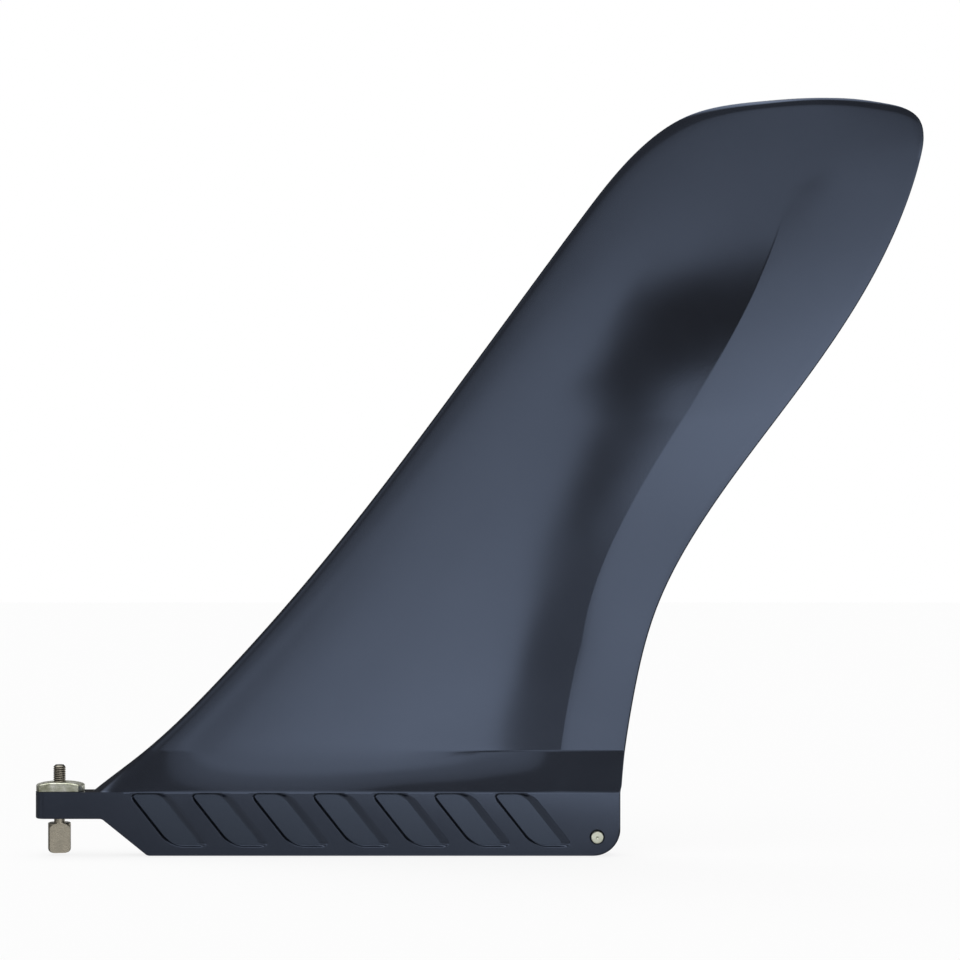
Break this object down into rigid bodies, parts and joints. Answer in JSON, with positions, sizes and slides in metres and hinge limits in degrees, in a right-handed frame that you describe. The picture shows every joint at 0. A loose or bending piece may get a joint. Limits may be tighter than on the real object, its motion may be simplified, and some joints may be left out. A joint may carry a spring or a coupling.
{
  "type": "paddleboard fin",
  "caption": "Raked centre fin for a paddleboard, with a box tab, weight-saving recesses, a steel cross pin at the rear and a thumb screw with plate nut in the front tongue.",
  "frame": {"origin": "on the foot of the tab, in the fin's middle plane, midway along the fin", "axes": "+Z from the foot of the tab to the tip of the blade, +X from the tongue towards the trailing edge, Y across the thickness"},
  "size_m": [0.2906, 0.0122, 0.2478],
  "materials": {
    "fin_plastic": "glossy moulded, faint fibre grain",
    "pin_steel": "turned, bright",
    "screw_steel": "turned, fine rings",
    "nut_metal": "cast and tumbled, slightly rough"
  },
  "bodies": {
    "fin": {"fin_body": "fin_plastic", "rear_cross_pin": "pin_steel"},
    "screw": {"thumb_screw": "screw_steel"},
    "nut": {"plate_nut": "nut_metal"}
  },
  "joints": [
    {"name": "screw_turn", "type": "hinge", "parent": "fin", "child": "screw", "pos_m": [-0.1377, 0, 0.01], "axis": [0, 0, -1], "range_deg": [0, 2160]},
    {"name": "nut_travel", "type": "slide", "parent": "fin", "child": "nut", "axis": [0, 0, 1], "range_m": [0, 0.0042]}
  ],
  "couplings": [
    {"joint": "screw_turn", "follows": "nut_travel", "rad_per_m": 8975.9}
  ]
}
